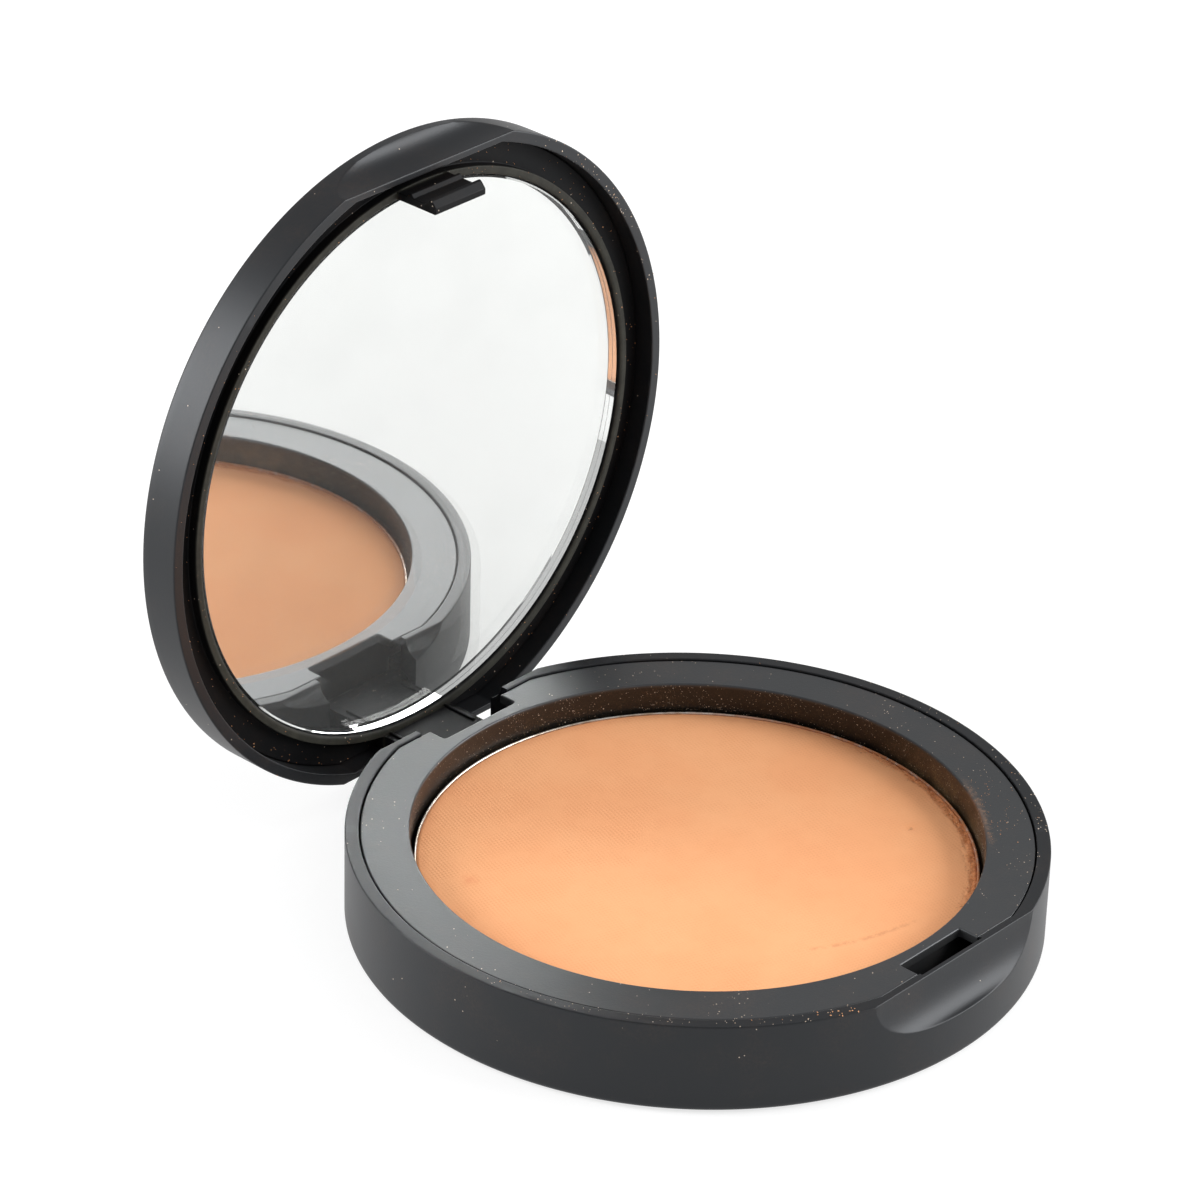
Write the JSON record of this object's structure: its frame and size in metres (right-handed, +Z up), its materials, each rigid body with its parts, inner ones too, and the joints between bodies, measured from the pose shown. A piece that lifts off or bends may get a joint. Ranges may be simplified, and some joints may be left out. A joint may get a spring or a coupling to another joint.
{
  "type": "powder compact",
  "caption": "Round powder compact: a hinged lid with a round mirror and a snap hook, over a base that holds pressed powder in a metal pan.",
  "frame": {"origin": "centre of the flat underside that the compact stands on", "axes": "+Z up, -Y towards the latch and thumb scoop at the front, +Y towards the hinge, +X to the right seen from the front"},
  "size_m": [0.075, 0.0829, 0.0764],
  "materials": {
    "case_plastic": "fine satin black moulded plastic",
    "tray_plastic": "smooth black plastic with loose powder on it",
    "frame_plastic": "polished black moulded plastic",
    "pressed_powder": "matt pressed powder with a woven press mark",
    "pan_metal": "bright pressed sheet",
    "pin_steel": "drawn wire",
    "mirror": "silvered glass with a polished edge",
    "label_paper": "blank label",
    "glue": "soft adhesive"
  },
  "bodies": {
    "base": {"base_shell": "case_plastic", "base_label": "label_paper", "pan_tray": "tray_plastic", "pan_glue": "glue", "powder_pan": "pan_metal", "powder_cake": "pressed_powder", "hinge_pin": "pin_steel"},
    "lid": {"lid_shell": "case_plastic", "lid_frame": "frame_plastic", "mirror_tape": "glue", "mirror_glass": "mirror"}
  },
  "joints": [
    {"name": "lid_hinge", "type": "hinge", "parent": "base", "child": "lid", "pos_m": [0, 0.0345, 0.00445], "axis": [1, 0, 0], "range_deg": [0, 90]}
  ]
}
